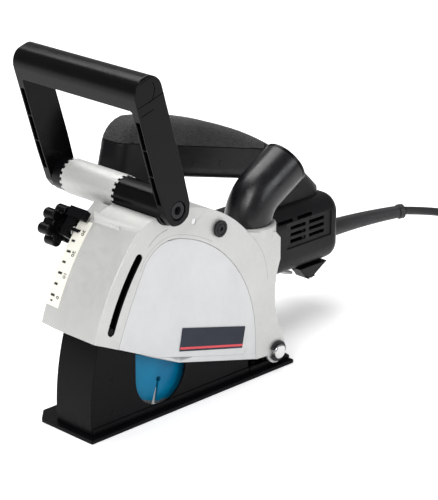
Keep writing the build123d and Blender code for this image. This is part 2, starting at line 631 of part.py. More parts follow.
# ---------------------------------------------------------------- motor, along X
def make_motor():
    with BuildPart() as shaft:
        add(x_disc(MOTOR_Y, SZ, 3, SX + 14, SX + 30))
        add(x_disc(MOTOR_Y, SZ, 5, SX + 30, 118))
    save(shaft, "armature_shaft")
    with BuildPart() as core:
        with BuildSketch(at_x(-30)):
            with Locations((MOTOR_Y, SZ)):
                Circle(20)
                with PolarLocations(19, 12):
                    Rectangle(5, 2, mode=Mode.SUBTRACT)
                Circle(5, mode=Mode.SUBTRACT)
        extrude(amount=60)
    save(core, "armature_core")
    with BuildPart() as comm:
        add(x_ring(MOTOR_Y, SZ, 13, 5, 52, 78))
    save(comm, "commutator")
    with BuildPart() as fan:
        add(x_ring(MOTOR_Y, SZ, 26, 5, -58, -55))
        with BuildSketch(at_x(-55)):
            with Locations((MOTOR_Y, SZ)):
                with PolarLocations(17, 9):
                    Rectangle(15, 1.6)
                Circle(11)
                Circle(5, mode=Mode.SUBTRACT)
        extrude(amount=9)
    save(fan, "cooling_fan")
    with BuildPart() as stator:
        with BuildSketch(at_x(-32)):
            with Locations((MOTOR_Y, SZ)):
                Circle(29)
                Circle(20.6, mode=Mode.SUBTRACT)
        extrude(amount=64)
    save(stator, "stator_core")
    with BuildPart() as bearings:
        add(x_ring(MOTOR_Y, SZ, 13.9, 5 + RUN_GAP, -84, -74))
        add(x_ring(MOTOR_Y, SZ, 11, 5 + RUN_GAP, 104, 112))
    save(bearings, "armature_bearings")
    with BuildPart() as baffle:
        add(x_ring(MOTOR_Y, SZ, 29, 22, -44, -41))
    save(baffle, "air_baffle")
    with BuildPart() as seat:
        add(x_ring(MOTOR_Y, SZ, 29, 11, 104, 112))
        for k in range(4):
            with Locations((108, MOTOR_Y + 20 * cos(pi / 2 * k + pi / 4), SZ + 20 * sin(pi / 2 * k + pi / 4))):
                Cylinder(6, 12, rotation=(0, 90, 0), mode=Mode.SUBTRACT)
    save(seat, "rear_bearing_seat")
    with BuildPart() as brushes:
        for side in (-1, 1):
            with Locations((65, MOTOR_Y + side * 18.7, SZ)):
                Box(7, 11, 6)
    save(brushes, "carbon_brushes")
    with BuildPart() as holders:
        for side in (-1, 1):
            with Locations((65, MOTOR_Y + side * 21.5, SZ)):
                Box(11, 13, 10)
                Box(7, 20, 6, mode=Mode.SUBTRACT)
    save(holders, "brush_holders")


def make_motor_housing():
    with BuildPart() as housing:
        with BuildSketch(at_x(MOTOR_FRONT)):
            with Locations((MOTOR_Y, SZ)):
                RectangleRounded(2 * MOTOR_HALF_Y, 2 * MOTOR_HALF_Z, 18)
        extrude(amount=MOTOR_REAR - MOTOR_FRONT)
        fillet(housing.edges().group_by(Axis.X)[-1], radius=12)
        with BuildSketch(at_x(MOTOR_FRONT)):
            with Locations((MOTOR_Y, SZ)):
                Circle(29)
        extrude(amount=180, mode=Mode.SUBTRACT)
        vent_y = MOTOR_Y - MOTOR_HALF_Y
        with Locations((111, vent_y, 86)):                    # recessed vent panel on the near side
            Box(60, 3, 24, mode=Mode.SUBTRACT)
        for x in (97, 122):
            for z in (93, 86.5, 80):
                with Locations((x, vent_y + 4, z)):
                    Box(20, 22, 3.2, mode=Mode.SUBTRACT)
        for x in (97, 122):                                   # intake slots on the far side
            for z in (93, 86.5, 80):
                with Locations((x, 2 * MOTOR_Y - vent_y - 4, z)):
                    Box(20, 22, 3.2, mode=Mode.SUBTRACT)
        add(x_disc(MOTOR_Y, CORD_Z, GLAND_R, 110, MOTOR_REAR + 2), mode=Mode.SUBTRACT)
    save(housing, "motor_housing")
    with BuildPart() as foot:
        with BuildSketch(at_y(58)):
            Polygon((105, 46.0), (143, 46.0), (122, 34), (116, 34), align=None)
        extrude(amount=14)
        fillet(foot.edges().filter_by(Axis.Y).group_by(Axis.Z)[0], radius=2.5)
    save(foot, "rear_foot")
    with BuildPart() as bracket:
        with BuildSketch(at_y(78)):
            with BuildLine():
                Polyline((92, 46.0), (100, 39), (112, 35.5))
                Line((112, 35.5), (112.8, 38))
                Polyline((112.8, 38), (101, 41.5), (96, 46.0), (92, 46.0))
            make_face()
        extrude(amount=18)
    save(bracket, "foot_bracket")


# ---------------------------------------------------------------- D handle
HANDLE_FOOT = SZ + MOTOR_HALF_Z                               # top face of the motor housing


SCREW_PLACES = ((-22, 178), (10, 170), (80, 142), (112, 124))


def handle_profile():
    """Side outline of the D handle, standing on the motor and gear housings."""
    with BuildSketch(at_y(0)) as outline:
        with BuildLine():
            Polyline((-62, HANDLE_FOOT), (-102, 130), (-113, 150), (-113, 185), (-108, 205))
            ThreePointArc((-108, 205), (-100, 222), (-84, 229.5))
            ThreePointArc((-84, 229.5), (-30, 218.5), (13, 203.6))
            ThreePointArc((13, 203.6), (70, 176.5), (143, 118))
            Line((143, 118), (143, HANDLE_FOOT))
            Line((143, HANDLE_FOOT), (64, HANDLE_FOOT))
            ThreePointArc((64, HANDLE_FOOT), (60, 127), (65, 140.7))
            Line((65, 140.7), (-62, 173))
            ThreePointArc((-62, 173), (-74, 166), (-79, 150))
            Polyline((-79, 150), (-68, 130), (-36, HANDLE_FOOT), (-62, HANDLE_FOOT))
        make_face()
    return outline.sketch


def grip_zone():
    """Region above the seam line, where the soft grip sits."""
    with BuildSketch(at_y(0)) as zone:
        Polygon((-96, 212), (66, 171), (150, 260), (-140, 260), (-140, 216), align=None)
    return zone.sketch


def leg_flare(profile, side):
    """Extra width on one side of the front leg, none at the top and growing towards the boss tube."""
    edge, wide = MOTOR_Y + side * HANDLE_HALF, MOTOR_Y + side * LEG_HALF
    with BuildPart() as flare:
        wall(profile, min(edge, wide), max(edge, wide))
        with BuildSketch(at_x(-120)):
            Polygon((edge, 212), (wide, 186), (wide, 150), (edge, 128), align=None)
        extrude(amount=36, mode=Mode.INTERSECT)
    return flare.part


def make_handle():
    profile = handle_profile()
    near, far = MOTOR_Y - HANDLE_HALF, MOTOR_Y + HANDLE_HALF
    for name, side, y0, y1, c0, c1 in (("handle_left", -1, near, MOTOR_Y, near + 3, MOTOR_Y + 1),
                                       ("handle_right", 1, MOTOR_Y, far, MOTOR_Y - 1, far - 3)):
        with BuildPart() as shell:
            wall(profile, y0, y1)
            add(leg_flare(profile, side))
            wall(grip_zone(), near - 1, far + 1, mode=Mode.SUBTRACT)
            with BuildSketch(at_y(c1)):                       # hollow for the switch and the wires
                Polygon((-104, 150), (-104, 200), (-96, 206), (66, 166), (84, 150), (120, 124), (120, 116),
                        (69, 116), (69, 146), (-62, 178), (-83, 166), (-83, 150), align=None)
            extrude(amount=c1 - c0, mode=Mode.SUBTRACT)
            with BuildSketch(at_y(MOTOR_Y + 7)):              # trigger opening
                Polygon((-79, 150), (-79, 190), (-36, 180), (-36, 160), align=None)
            extrude(amount=14, mode=Mode.SUBTRACT)
            add(disc(-50, 184, 4.0, near - 1, far + 1), mode=Mode.SUBTRACT)
            for x, z in SCREW_PLACES:
                add(disc(x, z, 2.8, near - 1, near + 1.8), mode=Mode.SUBTRACT)
        save(shell, name)
    with BuildPart() as grip:
        with BuildSketch(at_y(0)) as cut:
            add(profile)
            add(grip_zone(), mode=Mode.INTERSECT)
        wall(cut.sketch, near, far)
    save(grip, "soft_grip")
    with BuildPart() as trigger:
        with BuildSketch(at_y(MOTOR_Y + 6.6)):
            with BuildLine():
                Polyline((-77, 178), (-77, 168), (-72, 160))
                ThreePointArc((-72, 160), (-58, 163.5), (-42, 158))
                Polyline((-42, 158), (-40, 174), (-77, 178))
            make_face()
            with Locations((-75, 175.5)):                     # boss on the trigger's hinge
                Circle(3.2)
        extrude(amount=13.2)
        fillet(trigger.edges().filter_by(Axis.Y).group_by(Axis.Z)[0], radius=3)
    save(trigger, "trigger")
    with BuildPart() as button:
        add(disc(-50, 184, 3.95, near - 3.5, near + 4.4))
        fillet(button.edges().group_by(Axis.Y)[0], radius=1)
    save(button, "lock_button")
    with BuildPart() as switch:
        with BuildSketch(at_y(MOTOR_Y + 9)):
            Polygon((-80, 189.5), (-80, 201), (-34, 189), (-34, 177.5), align=None)
        extrude(amount=18)
    save(switch, "switch_block")
    with BuildPart() as screws:
        for x, z in SCREW_PLACES:
            add(disc(x, z, 2.8, near - 0.2, near + 1.8))
    save(screws, "handle_screws")


# ---------------------------------------------------------------- cord
CORD_R = 4.0
CORD_Z = 63.0
GLAND_R = 9.0
ROUTE = [(257, 47, 66.5), (287, 38.5, 61), (316, 34, 51), (342, 31, 37.5), (364, 27, 23), (383, 18, 11),
         (398, 4, 5.2), (407, -14, 4), (411, -34, 4)]
COIL_X, COIL_Y = 359.0, -36.0
COIL_R = 44.0                 # mean radius of the turns
COIL_H = 32.0


def make_gland():
    with BuildPart() as gland:
        with BuildLine():
            path = FilletPolyline((MOTOR_REAR, MOTOR_Y, CORD_Z), (190, MOTOR_Y, CORD_Z), (223, 57.5, 66), ROUTE[0],
                                  radius=90)
        sections = [(0.0, 9.0), (0.5, 7.4), (0.97, 6.0)]
        for t, r in sections:
            with BuildSketch(Plane(origin=path @ t, z_dir=path % t)):
                Circle(r)
        loft()
        with BuildSketch(Plane(origin=path @ 0.93, z_dir=path % 0.93)):
            Circle(7.2)
        extrude(amount=5)
        with Locations(Plane(origin=path @ 0, z_dir=path % 0)):
            Cylinder(GLAND_R, 12, align=(Align.CENTER, Align.CENTER, Align.MAX))
    save(gland, "cord_guard")


def rounded_route(points):
    """Straight runs joined by tangent arcs, each as large as its two runs allow."""
    radii = []
    for before, here, after in zip(points, points[1:], points[2:]):
        a, b = Vector(here) - Vector(before), Vector(after) - Vector(here)
        turn = radians(a.get_angle(b))
        radii.append(0.45 * min(a.length, b.length) / tan(turn / 2))
    print("cord radii", [round(r) for r in radii])
    return FilletPolyline(*points, radius=radii)


def make_cord():
    with BuildPart() as tube:
        with BuildLine():
            path = rounded_route(ROUTE)
        with BuildSketch(Plane(origin=path @ 0, z_dir=path % 0)):
            Circle(CORD_R)
        sweep(path=path)
    print("tube volume", round(tube.part.volume), "section x length", round(pi * CORD_R ** 2 * path.length))
    save(tube, "cord_tube")
    with BuildPart() as coil:
        with Locations((COIL_X, COIL_Y, 0)):
            Cylinder(COIL_R + 12, COIL_H, align=(Align.CENTER, Align.CENTER, Align.MIN))
            Cylinder(COIL_R - 12, COIL_H, align=(Align.CENTER, Align.CENTER, Align.MIN), mode=Mode.SUBTRACT)
    save(coil, "cord_coil")
    with BuildPart() as plug:
        with BuildSketch(Plane.XY.offset(COIL_H)):
            with Locations((COIL_X, COIL_Y - COIL_R)):
                RectangleRounded(46, 16, 5)
        extrude(amount=13)
        for y in (-5.5, 5.5):                                 # pins
            with Locations((COIL_X - 22, COIL_Y - COIL_R + y, COIL_H + 6.5)):
                Cylinder(2.2, 20, rotation=(0, -90, 0), align=(Align.CENTER, Align.CENTER, Align.MIN))
    save(plug, "mains_plug")


make_sole()
make_guard()
make_guide_pin()
make_pivot_bracket()
make_pivot_pin()
make_return_spring()
make_cover()
make_side_cover()
make_cover_fasteners()
make_nozzle()
make_bail()
make_depth_stop()
make_spindle()
make_blade("blade_near", -SPACER_HALF - BLADE_T, 15.4)
make_blade("blade_far", SPACER_HALF, 37.5)
make_bevels()
make_spindle_bearings()
make_gear_housing()
make_motor()
make_motor_housing()
make_handle()
make_gland()
make_cord()
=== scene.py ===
import bmesh
import bpy
import json
from math import atan2, cos, hypot, pi, radians, sin, tan
from mathutils import Matrix, Vector

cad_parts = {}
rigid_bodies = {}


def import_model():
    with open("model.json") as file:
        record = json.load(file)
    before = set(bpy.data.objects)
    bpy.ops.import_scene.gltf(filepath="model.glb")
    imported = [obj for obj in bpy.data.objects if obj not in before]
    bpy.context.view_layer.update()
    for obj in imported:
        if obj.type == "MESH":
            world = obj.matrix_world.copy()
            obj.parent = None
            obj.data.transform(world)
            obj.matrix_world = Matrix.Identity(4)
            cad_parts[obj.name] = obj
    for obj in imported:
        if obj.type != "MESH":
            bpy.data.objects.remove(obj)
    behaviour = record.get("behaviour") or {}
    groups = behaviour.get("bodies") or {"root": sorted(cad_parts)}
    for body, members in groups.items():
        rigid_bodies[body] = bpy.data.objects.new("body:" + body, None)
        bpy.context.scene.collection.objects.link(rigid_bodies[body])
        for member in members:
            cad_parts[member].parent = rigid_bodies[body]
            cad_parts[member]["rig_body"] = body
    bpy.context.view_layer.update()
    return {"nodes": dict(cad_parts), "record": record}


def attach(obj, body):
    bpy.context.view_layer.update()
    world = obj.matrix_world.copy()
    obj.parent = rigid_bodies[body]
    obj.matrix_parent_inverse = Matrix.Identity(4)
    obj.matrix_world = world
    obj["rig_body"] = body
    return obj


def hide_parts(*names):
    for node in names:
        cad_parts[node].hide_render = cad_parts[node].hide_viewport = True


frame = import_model()
NODES = frame["nodes"]
SCENE = bpy.context.scene
MM = 0.001
SHARP = 32                                                    # degrees from which an edge counts as sharp

# ------------------------------------------------------------------ shared places, millimetres
PIVOT_Z = 17.5
SPINDLE_X, SPINDLE_Z = -119.184, 78.751
MOTOR_Y = 70.0
COVER_NEAR = -26.0
BAIL_X, BAIL_Z, BAIL_TILT = -130.0, 182.5, 16.5
BAIL_NEAR, BAIL_FAR, BAIL_REACH = -37.5, 111.0, 124.0
ARM_T, BAR_T = 8.0, 25.0


# ------------------------------------------------------------------ camera
CAMERA_LENS = 154.0
CAMERA_PLACE = (-1.26547, -1.21976, 0.75484)
CAMERA_AIM = (0.6632, 0.6632, -0.3469)


def make_camera():
    camera = bpy.data.objects.new("camera", bpy.data.cameras.new("camera"))
    SCENE.collection.objects.link(camera)
    camera.data.lens = CAMERA_LENS
    camera.data.clip_end = 60
    camera.location = CAMERA_PLACE
    camera.rotation_euler = Vector(CAMERA_AIM).to_track_quat("-Z", "Y").to_euler()
    SCENE.camera = camera
    SCENE.view_settings.view_transform = "Standard"           # the default view would grey black and white


make_camera()


# ------------------------------------------------------------------ materials
class Maker:
    """Small helper that builds one node material."""

    def __init__(self, name):
        self.m = bpy.data.materials.new(name)
        self.m.use_nodes = True
        self.tree = self.m.node_tree
        self.bsdf = self.tree.nodes["Principled BSDF"]
        coords = self.tree.nodes.new("ShaderNodeTexCoord")
        self.coords = coords.outputs["Object"]

    def node(self, kind, **values):
        made = self.tree.nodes.new(kind)
        for key, value in values.items():
            if hasattr(made, key):
                setattr(made, key, value)
            else:
                made.inputs[key.replace("_", " ")].default_value = value
        return made

    def link(self, a, b):
        self.tree.links.new(a, b)

    def noise(self, scale, detail=3.0, stretch=None, rough=0.5):
        made = self.node("ShaderNodeTexNoise")
        made.inputs["Scale"].default_value = scale
        made.inputs["Detail"].default_value = detail
        made.inputs["Roughness"].default_value = rough
        source = self.coords
        if stretch:
            mapping = self.node("ShaderNodeMapping")
            mapping.inputs["Scale"].default_value = stretch
            self.link(self.coords, mapping.inputs["Vector"])
            source = mapping.outputs["Vector"]
        self.link(source, made.inputs["Vector"])
        return made.outputs["Fac"]

    def cells(self, scale, feature="DISTANCE_TO_EDGE"):
        made = self.node("ShaderNodeTexVoronoi")
        made.feature = feature
        made.inputs["Scale"].default_value = scale
        self.link(self.coords, made.inputs["Vector"])
        return made.outputs["Distance"]

    def ramp(self, source, low, high, a, b):
        """Map source from low..high to a..b."""
        made = self.node("ShaderNodeMapRange")
        made.inputs["From Min"].default_value = low
        made.inputs["From Max"].default_value = high
        made.inputs["To Min"].default_value = a
        made.inputs["To Max"].default_value = b
        self.link(source, made.inputs["Value"])
        return made.outputs["Result"]

    def mix(self, fac, a, b):
        made = self.node("ShaderNodeMix")
        made.data_type = "RGBA"
        for socket, value in ((made.inputs[0], fac), (made.inputs[6], a), (made.inputs[7], b)):
            if isinstance(value, (tuple, list)):
                socket.default_value = (*value, 1.0) if len(value) == 3 else value
            elif isinstance(value, float):
                socket.default_value = value
            else:
                self.link(value, socket)
        return made.outputs[2]

    def math(self, op, a, b=None):
        made = self.node("ShaderNodeMath")
        made.operation = op
        for socket, value in zip(made.inputs, (a, b)):
            if isinstance(value, (int, float)):
                socket.default_value = value
            elif value is not None:
                self.link(value, socket)
        return made.outputs[0]

    def bump(self, *layers):
        """Stack bump layers given as (height source, strength, distance in metres)."""
        normal = None
        for source, strength, distance in layers:
            made = self.node("ShaderNodeBump")
            made.inputs["Strength"].default_value = strength
            made.inputs["Distance"].default_value = distance
            self.link(source, made.inputs["Height"])
            if normal is not None:
                self.link(normal, made.inputs["Normal"])
            normal = made.outputs["Normal"]
        self.link(normal, self.bsdf.inputs["Normal"])

    def colour(self, source):
        self.link(source, self.bsdf.inputs["Base Color"])

    def rough(self, source):
        if isinstance(source, float):
            self.bsdf.inputs["Roughness"].default_value = source
        else:
            self.link(source, self.bsdf.inputs["Roughness"])

    def plain(self, **values):
        for key, value in values.items():
            self.bsdf.inputs[key.replace("_", " ")].default_value = value


def shade(colour, factor):
    return tuple(min(1.0, c * factor) for c in colour)


def basic(name, colour, rough, metallic=0.0, mottle=0.1, grain=0.15, grain_scale=1800, coat=0.0, specular=0.5,
          smears=0.08, stretch=None, distance=0.00012):
    """Paint, plastic or metal with mottled colour, uneven roughness and a fine surface texture."""
    k = Maker(name)
    slow, fine = k.noise(28, 4), k.noise(grain_scale, 2, stretch)
    k.colour(k.mix(k.ramp(slow, 0.3, 0.7, 0.0, 1.0), shade(colour, 1 - mottle), shade(colour, 1 + mottle)))
    patches = k.noise(95, 5, rough=0.65)
    k.rough(k.ramp(patches, 0.3, 0.7, max(0.02, rough - smears), min(1.0, rough + smears)))
    k.bump((fine, grain, distance), (k.noise(210, 3), grain * 0.35, distance * 2))
    k.plain(Metallic=metallic, Specular_IOR_Level=specular, Coat_Weight=coat, Coat_Roughness=0.08)
    return k.m


def cast_material(name, colour, grain, speck):
    """Silver paint over a sand-cast skin: fine pits, light and dark specks."""
    k = Maker(name)
    slow, specks = k.noise(22, 5), k.noise(2300, 2, rough=0.7)
    base = k.mix(k.ramp(slow, 0.35, 0.65, 0.0, 1.0), shade(colour, 0.965), shade(colour, 1.03))
    dark = k.mix(k.ramp(specks, 0.28, 0.45, speck, 0.0), base, shade(colour, 0.62))
    light = k.mix(k.ramp(specks, 0.6, 0.72, 0.0, speck), dark, (0.95, 0.95, 0.93))
    k.colour(light)
    k.rough(k.ramp(k.noise(160, 4), 0.3, 0.7, 0.38, 0.55))
    k.bump((k.noise(1500, 3, rough=0.65), grain, 0.00025), (k.noise(420, 2), grain * 0.5, 0.0003))
    k.plain(Metallic=0.35, Specular_IOR_Level=0.5)
    return k.m


def leather_material(name):
    """Soft grip: raised pebbles between creases, with painted shade darkening the creases."""
    k = Maker(name)
    cells, soft = k.cells(620), k.noise(900, 3)
    crease_and_shade = k.ramp(cells, 0.0, 0.22, 0.0, 1.0)
    tone = k.mix(k.ramp(k.noise(30, 4), 0.3, 0.7, 0.0, 1.0), (0.042, 0.041, 0.042), (0.06, 0.059, 0.059))
    # painted shade: the creases are coloured near black, darker than the rubber's own tone
    k.colour(k.mix(crease_and_shade, (0.012, 0.012, 0.013), tone))
    k.rough(k.ramp(soft, 0.3, 0.7, 0.5, 0.68))
    k.bump((crease_and_shade, 0.8, 0.0004), (soft, 0.25, 0.0002))
    k.plain(Specular_IOR_Level=0.25, Sheen_Weight=0.05, Sheen_Roughness=0.5)
    return k.m


BLADE_RIM = (0.0718, 0.0724)                                  # metres from the spindle: where the grit begins
BLADE_HUB = (0.0205, 0.0212)                                  # metres from the spindle: where bare metal ends


def blade_material(name):
    """Blue enamelled core, bare hub ring and a gritty grey rim, by distance from the spindle."""
    k = Maker(name)
    split = k.node("ShaderNodeSeparateXYZ")
    k.link(k.coords, split.inputs[0])
    dx = k.math("SUBTRACT", split.outputs[0], SPINDLE_X * MM)
    dz = k.math("SUBTRACT", split.outputs[2], SPINDLE_Z * MM)
    r = k.math("SQRT", k.math("ADD", k.math("MULTIPLY", dx, dx), k.math("MULTIPLY", dz, dz)))
    worn = k.math("ADD", r, k.ramp(k.noise(260, 5, rough=0.7), 0.3, 0.7, -0.0012, 0.0012))
    rim = k.ramp(worn, *BLADE_RIM, 0.0, 1.0)
    hub = k.ramp(worn, *BLADE_HUB, 1.0, 0.0)
    blue = k.mix(k.ramp(k.noise(35, 4), 0.3, 0.7, 0.0, 1.0), (0.0, 0.13, 0.27), (0.0, 0.185, 0.34))
    scratches = k.ramp(k.noise(120, 6, (1, 8, 12), 0.75), 0.66, 0.72, 0.0, 0.5)
    scratched = k.mix(scratches, blue, (0.45, 0.5, 0.52))
    grit = k.mix(k.ramp(k.cells(1500, "F1"), 0.1, 0.5, 0.0, 1.0), (0.5, 0.5, 0.5), (0.14, 0.14, 0.14))
    k.colour(k.mix(hub, k.mix(rim, scratched, grit), (0.55, 0.55, 0.56)))
    k.rough(k.ramp(rim, 0.0, 1.0, 0.32, 0.75))
    k.link(k.ramp(k.math("ADD", hub, rim), 0.0, 1.0, 0.0, 0.75), k.bsdf.inputs["Metallic"])
    k.plain(Specular_IOR_Level=0.15)
    k.bump((k.math("MULTIPLY", rim, k.cells(1500, "F1")), 0.7, 0.0003), (k.noise(900, 3), 0.08, 0.0001))
    return k.m


MATERIALS = {
    "black_steel": basic("black_steel", (0.003, 0.003, 0.0035), 0.33, mottle=0.15, grain=0.12, specular=0.06),
    "cast_aluminium": cast_material("cast_aluminium", (0.52, 0.52, 0.505), 0.32, 0.4),
    "cover_plate": cast_material("cover_plate", (0.56, 0.563, 0.567), 0.12, 0.12),
    "plate_dark": basic("plate_dark", (0.026, 0.03, 0.043), 0.4, mottle=0.12, grain=0.05, specular=0.1),
    "scale_label": basic("scale_label", (0.80, 0.785, 0.70), 0.42, mottle=0.03, grain=0.04),
    "bright_steel": basic("bright_steel", (0.60, 0.60, 0.60), 0.24, 1.0, 0.08, 0.2, 900, stretch=(1, 14, 1)),
    "dark_steel": basic("dark_steel", (0.012, 0.012, 0.014), 0.33, 0.1, 0.15, 0.15, specular=0.2),
    "chrome": basic("chrome", (0.78, 0.79, 0.80), 0.08, 1.0, 0.03, 0.04, 1200, smears=0.04),
    "housing_black": basic("housing_black", (0.0062, 0.0062, 0.007), 0.4, mottle=0.14, grain=0.3,
                           grain_scale=2600, specular=0.16),
    "gloss_black": basic("gloss_black", (0.0022, 0.0022, 0.0026), 0.24, mottle=0.15, grain=0.05, smears=0.05,
                         specular=0.12),
    "grip_rubber": leather_material("grip_rubber"),
    "control_plastic": basic("control_plastic", (0.009, 0.009, 0.01), 0.45, mottle=0.12, grain=0.25,
                             specular=0.2),
    "blade_blue": blade_material("blade_blue"),
    "machined_steel": basic("machined_steel", (0.48, 0.48, 0.47), 0.3, 1.0, 0.08, 0.25, 700,
                            stretch=(12, 1, 12)),
    "copper": basic("copper", (0.70, 0.36, 0.20), 0.3, 1.0, 0.1, 0.15, 800, stretch=(1, 12, 12)),
    "carbon": basic("carbon", (0.03, 0.03, 0.031), 0.6, mottle=0.2, grain=0.4),
    "cord_rubber": basic("cord_rubber", (0.012, 0.012, 0.013), 0.5, mottle=0.15, grain=0.22,
                         grain_scale=2200),
    "elbow_black": basic("elbow_black", (0.003, 0.0032, 0.004), 0.3, mottle=0.12, grain=0.22,
                         grain_scale=2400, specular=0.42),
    "seam_grey": basic("seam_grey", (0.16, 0.16, 0.16), 0.6, mottle=0.1, grain=0.05),
    "red_stripe": basic("red_stripe", (0.62, 0.035, 0.05), 0.34, mottle=0.06, grain=0.05),
    "print_black": basic("print_black", (0.01, 0.01, 0.01), 0.5, mottle=0.1, grain=0.05),
}
NODE_SLOT = {s["node"]: s["material_slot"] for s in frame["record"]["subparts"]}
# nodes drawn black, whatever slot the record gives them
DARK_NODES = {"handle_screws": "housing_black", "guide_pin": "black_steel", "bracket_screws": "black_steel"}
for node_name, node_object in NODES.items():
    node_object.data.materials.clear()
    node_object.data.materials.append(MATERIALS[DARK_NODES.get(node_name, NODE_SLOT[node_name])])
    node_object.data.shade_smooth()
    node_object.data.set_sharp_from_angle(angle=radians(SHARP))


# ------------------------------------------------------------------ mesh helpers
def flat_place(a, b, d):
    """Side view: a is X, b is Z, d is Y."""
    return Vector((a, d, b)) * MM


def bail_place(a, b, d):
    """Side view of the tilted front grip: a across the arm, b along it, d is Y."""
    t = radians(BAIL_TILT)
    return Vector((BAIL_X + a * cos(t) - b * sin(t), d, BAIL_Z + a * sin(t) + b * cos(t))) * MM


def bail_front(a, b, d):
    """Front view of the tilted grip: a is Y, b along the arm, d across it."""
    return bail_place(d, b, a)


def polar(r, deg):
    """X and Z at this radius from the plunge pivot, deg above the line to the front."""
    return (-r * cos(radians(deg)), PIVOT_Z + r * sin(radians(deg)))


def make_object(bm, name):
    bmesh.ops.recalc_face_normals(bm, faces=bm.faces)
    mesh = bpy.data.meshes.new(name)
    bm.to_mesh(mesh)
    bm.free()
    made = bpy.data.objects.new(name, mesh)
    SCENE.collection.objects.link(made)
    return made


def prism(name, points, place, d0, d1):
    """Closed solid with this outline, from depth d0 to d1."""
    bm = bmesh.new()
    low = [bm.verts.new(place(a, b, d0)) for a, b in points]
    high = [bm.verts.new(place(a, b, d1)) for a, b in points]
    bm.faces.new(low)
    bm.faces.new(high[::-1])
    for i in range(len(points)):
        bm.faces.new((low[i - 1], low[i], high[i], high[i - 1]))
    return make_object(bm, name)


def rounded(points, radii, steps=6):
    """Outline with each corner turned into an arc of its radius."""
    out = []
    n = len(points)
    for i in range(n):
        r = radii[i] if isinstance(radii, (list, tuple)) else radii
        here, before, after = Vector(points[i]), Vector(points[i - 1]), Vector(points[(i + 1) % n])
        a, b = (before - here).normalized(), (after - here).normalized()
        corner = a.angle(b)
        if r <= 0 or corner > radians(177):
            out.append(tuple(here))
            continue
        cut = r / tan(corner / 2)
        centre = here + (a + b).normalized() * (r / sin(corner / 2))
        start, end = here + a * cut - centre, here + b * cut - centre
        a0, sweep = atan2(start.y, start.x), atan2(end.y, end.x) - atan2(start.y, start.x)
        sweep = (sweep + pi) % (2 * pi) - pi
        for k in range(steps + 1):
            t = a0 + sweep * k / steps
            out.append((centre.x + r * cos(t), centre.y + r * sin(t)))
    return out


def circle(x, y, r, count=48):
    return [(x + r * cos(2 * pi * k / count), y + r * sin(2 * pi * k / count)) for k in range(count)]


def lathe(name, profile, centre, axis, steps=64):
    """Revolve (radius, height) points about an axis through centre; the profile is closed."""
    bm = bmesh.new()
    turn = Vector((0, 0, 1)).rotation_difference(Vector(axis)).to_matrix()
    rings = []
    for k in range(steps):
        t = 2 * pi * k / steps
        rings.append([bm.verts.new((turn @ Vector((r * cos(t), r * sin(t), h)) + Vector(centre)) * MM)
                      for r, h in profile])
    for k in range(steps):
        for i in range(len(profile)):
            bm.faces.new((rings[k - 1][i - 1], rings[k - 1][i], rings[k][i], rings[k][i - 1]))
    return make_object(bm, name)


def apply_all(obj):
    graph = bpy.context.evaluated_depsgraph_get()
    new = bpy.data.meshes.new_from_object(obj.evaluated_get(graph))
    obj.modifiers.clear()
    obj.data = new
    return obj


def combine(obj, others, operation="DIFFERENCE"):
    """Boolean with each of the other objects, which are used up."""
    for other in others:
        m = obj.modifiers.new("cut", "BOOLEAN")
        m.operation, m.solver, m.object = operation, "EXACT", other
    apply_all(obj)
    for other in others:
        bpy.data.objects.remove(other)
    return obj


def soften(obj, width, segments=3, angle=SHARP):
    m = obj.modifiers.new("edge", "BEVEL")
    m.width, m.segments, m.limit_method, m.angle_limit = width * MM, segments, "ANGLE", radians(angle)
    m.use_clamp_overlap = False
    m.harden_normals = False
    return apply_all(obj)


def finish_piece(obj, body, slot, material=None, nodes=()):
    """Give a piece its material (the slot's material unless another is named), smooth shading and moving
    body, and hide the CAD nodes it replaces.
    """
    obj.data.materials.clear()
    obj.data.materials.append(MATERIALS[material or slot])
    if obj.type == "MESH":
        obj.data.shade_smooth()
        obj.data.set_sharp_from_angle(angle=radians(SHARP))
        m = obj.modifiers.new("normals", "WEIGHTED_NORMAL")
        m.keep_sharp, m.weight = True, 100
    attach(obj, body)
    if nodes:
        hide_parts(*nodes)
    return obj


WELD = 2e-6                                                   # metres


def copy_node(node):
    """A CAD node's mesh as a new object, with doubled vertices merged."""
    bm = bmesh.new()
    bm.from_mesh(NODES[node].data)
    bmesh.ops.remove_doubles(bm, verts=bm.verts, dist=WELD)
    return make_object(bm, node + "_skin")


def soften_chosen(obj, width, weigh, segments):
    """Round each sharp edge by width times the weight of its middle point."""
    bm = bmesh.new()
    bm.from_mesh(obj.data)
    layer = bm.edges.layers.float.new("bevel_weight_edge")
    for edge in bm.edges:
        if len(edge.link_faces) == 2 and edge.calc_face_angle() > radians(SHARP):
            edge[layer] = weigh((edge.verts[0].co + edge.verts[1].co) / 2 / MM)
    bm.to_mesh(obj.data)
    bm.free()
    m = obj.modifiers.new("edge", "BEVEL")
    m.width, m.segments, m.limit_method, m.use_clamp_overlap = width * MM, segments, "WEIGHT", False
    return apply_all(obj)


def strip(points, half):
    """Narrow outline along an open line of points."""
    left, right = [], []
    for i, (a, b) in enumerate(points):
        before, after = Vector(points[max(i - 1, 0)]), Vector(points[min(i + 1, len(points) - 1)])
        side = (after - before).normalized().orthogonal() * half
        left.append((a + side.x, b + side.y))
        right.append((a - side.x, b - side.y))
    return left + right[::-1]


def skin(node, width, segments=2, cuts=(), material=None, late_cuts=()):
    """Replace a CAD node by the same shape with rounded edges."""
    made = copy_node(node)
    if cuts:
        combine(made, cuts)
    soften(made, width, segments)
    if late_cuts:
        combine(made, late_cuts)
    return finish_piece(made, NODES[node]["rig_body"], NODE_SLOT[node], material, nodes=[node])


